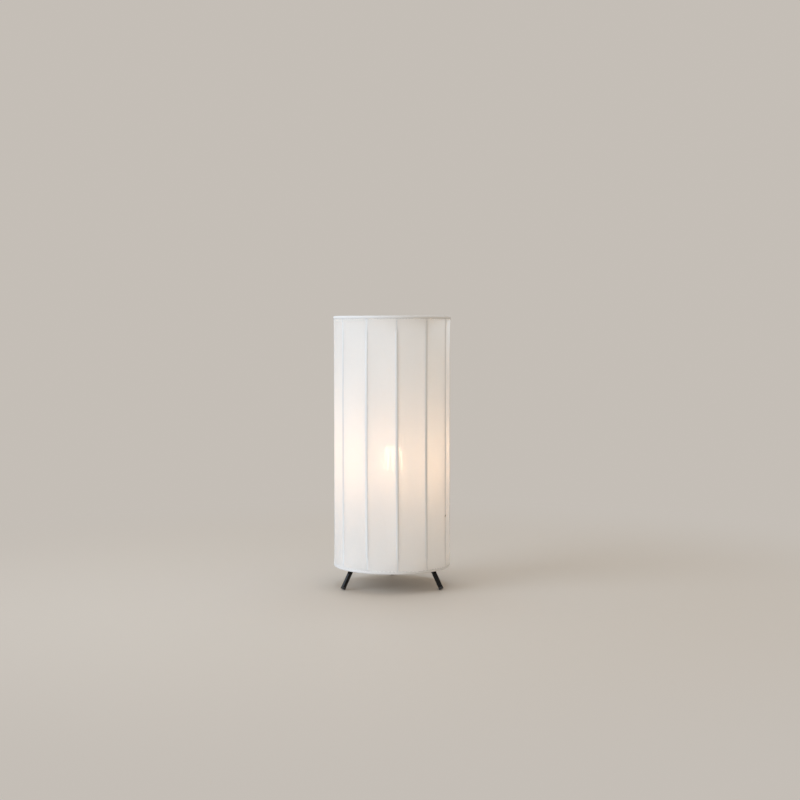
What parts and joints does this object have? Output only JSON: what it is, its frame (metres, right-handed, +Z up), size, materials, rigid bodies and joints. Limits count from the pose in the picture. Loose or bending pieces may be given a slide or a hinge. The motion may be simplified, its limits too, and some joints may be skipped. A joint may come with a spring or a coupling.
{
  "type": "table lamp",
  "caption": "Cylindrical fabric table lamp: flat cotton panels stretched over a ribbed wire frame, on splayed black rod legs, with a bulb inside.",
  "frame": {"origin": "on the table, under the middle of the lamp", "axes": "+Z up along the shade's axis, -Y towards the front, +X to the right seen from the front"},
  "size_m": [0.15, 0.15, 0.346],
  "materials": {
    "frame_wire": "white powder coat, satin",
    "cotton": "fine plain-woven off-white cotton, translucent",
    "hem_cotton": "the same cotton, rolled and sewn",
    "white_paint": "white powder coat, satin",
    "black_paint": "black lacquer, glossy",
    "glide_rubber": "black rubber, matt",
    "zinc": "zinc-plated steel",
    "black_plastic": "moulded black thermoplastic, fine matt grain",
    "core_ceramic": "unglazed pale ceramic",
    "contact_brass": "plain brass strip",
    "bulb_glass": "thin clear glass",
    "bulb_metal": "nickel-plated",
    "bulb_insulator": "black insulating glass",
    "light_sticks": "yellow phosphor, glowing warm white"
  },
  "bodies": {
    "base": {"base_plate": "white_paint", "leg_sockets": "white_paint", "leg_lock_nuts": "zinc", "leg_1": "black_paint", "leg_2": "black_paint", "leg_3": "black_paint", "leg_glide_1": "glide_rubber", "leg_glide_2": "glide_rubber", "leg_glide_3": "glide_rubber", "stem_tube": "zinc", "stem_sleeve": "white_paint", "stem_washer": "zinc", "stem_nut": "zinc", "cord_gland": "black_plastic", "holder_cap": "black_plastic", "holder_skirt": "black_plastic", "holder_core": "core_ceramic", "holder_shell": "contact_brass", "centre_contact": "contact_brass", "side_contact": "contact_brass", "terminal_screws": "zinc", "cap_set_screw": "zinc"},
    "shade": {"top_ring": "frame_wire", "bottom_ring": "frame_wire", "rib_01": "frame_wire", "rib_02": "frame_wire", "rib_03": "frame_wire", "rib_04": "frame_wire", "rib_05": "frame_wire", "rib_06": "frame_wire", "rib_07": "frame_wire", "rib_08": "frame_wire", "rib_09": "frame_wire", "rib_10": "frame_wire", "rib_11": "frame_wire", "rib_12": "frame_wire", "carrier_arm_1": "frame_wire", "carrier_arm_2": "frame_wire", "carrier_arm_3": "frame_wire", "carrier_ring": "frame_wire", "fabric_panel_01": "cotton", "fabric_panel_02": "cotton", "fabric_panel_03": "cotton", "fabric_panel_04": "cotton", "fabric_panel_05": "cotton", "fabric_panel_06": "cotton", "fabric_panel_07": "cotton", "fabric_panel_08": "cotton", "fabric_panel_09": "cotton", "fabric_panel_10": "cotton", "fabric_panel_11": "cotton", "fabric_panel_12": "cotton", "top_hem": "hem_cotton", "bottom_hem": "hem_cotton"},
    "fixing_ring": {"shade_ring": "black_plastic"},
    "bulb": {"bulb_glass": "bulb_glass", "bulb_cap": "bulb_metal", "bulb_insulator": "bulb_insulator", "bulb_end_contact": "bulb_metal", "bulb_filaments": "light_sticks"}
  },
  "joints": [
    {"name": "shade_turn", "type": "hinge", "parent": "base", "child": "shade", "pos_m": [0, 0, 0.1075], "axis": [0, 0, 1], "continuous": true},
    {"name": "shade_ring_turn", "type": "hinge", "parent": "base", "child": "fixing_ring", "pos_m": [0, 0, 0.112], "axis": [0, 0, 1], "continuous": true},
    {"name": "bulb_turn", "type": "hinge", "parent": "base", "child": "bulb", "pos_m": [0, 0, 0.12], "axis": [0, 0, 1], "continuous": true}
  ]
}
